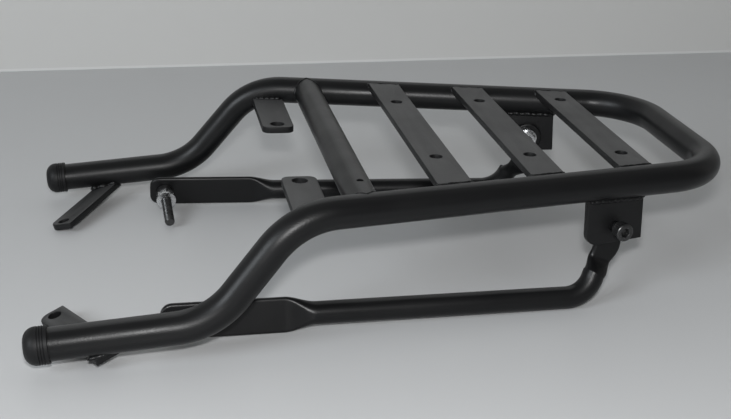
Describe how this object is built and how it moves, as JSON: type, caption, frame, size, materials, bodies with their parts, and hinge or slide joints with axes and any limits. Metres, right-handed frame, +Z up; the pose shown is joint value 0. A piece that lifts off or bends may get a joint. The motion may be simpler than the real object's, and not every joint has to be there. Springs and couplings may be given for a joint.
{
  "type": "motorcycle luggage rack",
  "caption": "Tubular rear luggage rack: a bent black tube hoop with flat deck strips, fixing tabs and two hinged support struts.",
  "frame": {"origin": "centre of the footprint, at the level of the lowest points, which are the front tabs' free ends", "axes": "+X to the rear hoop, +Y to the right-hand side, +Z up, with the deck level"},
  "size_m": [0.5051, 0.346, 0.11],
  "materials": {
    "powder_coat_tube": "satin black powder coat on bent steel tube",
    "powder_coat_flat": "satin black powder coat on flat steel bar",
    "cap_plastic": "black moulded plastic",
    "black_fastener": "black oxide with a thin oil film",
    "zinc": "bright zinc plate"
  },
  "bodies": {
    "frame": {"main_rail": "powder_coat_tube", "cross_tube": "powder_coat_tube", "deck_strip_front": "powder_coat_flat", "deck_strip_middle": "powder_coat_flat", "deck_strip_rear": "powder_coat_flat", "deck_tab_left": "powder_coat_flat", "deck_tab_right": "powder_coat_flat", "front_tab_left": "powder_coat_flat", "front_tab_right": "powder_coat_flat", "bracket_left": "powder_coat_flat", "bracket_right": "powder_coat_flat", "end_cap_left": "cap_plastic", "end_cap_right": "cap_plastic", "pivot_bolt_left": "black_fastener", "pivot_bolt_right": "black_fastener", "pivot_washer_left": "zinc", "pivot_washer_right": "zinc", "pivot_nut_left": "zinc", "pivot_nut_right": "zinc"},
    "strut_left": {"strut_left": "powder_coat_tube"},
    "strut_right": {"strut_right": "powder_coat_tube"},
    "front_bolt_set": {"front_bolt": "black_fastener", "front_bolt_spacer": "black_fastener", "front_bolt_washer": "zinc", "front_bolt_nut": "zinc"}
  },
  "joints": [
    {"name": "strut_left_swing", "type": "hinge", "parent": "frame", "child": "strut_left", "pos_m": [0.1533, -0.10601, 0.06737], "axis": [-0.2005, 0.9797, 0], "range_deg": [-100, 14]},
    {"name": "strut_right_swing", "type": "hinge", "parent": "frame", "child": "strut_right", "pos_m": [0.1533, 0.10601, 0.06737], "axis": [0.2005, 0.9797, 0], "range_deg": [-100, 14]},
    {"name": "front_bolt_spin", "type": "hinge", "parent": "strut_right", "child": "front_bolt_set", "pos_m": [-0.15416, 0.12831, 0.01757], "axis": [0.0464, -0.9838, -0.173], "continuous": true}
  ]
}
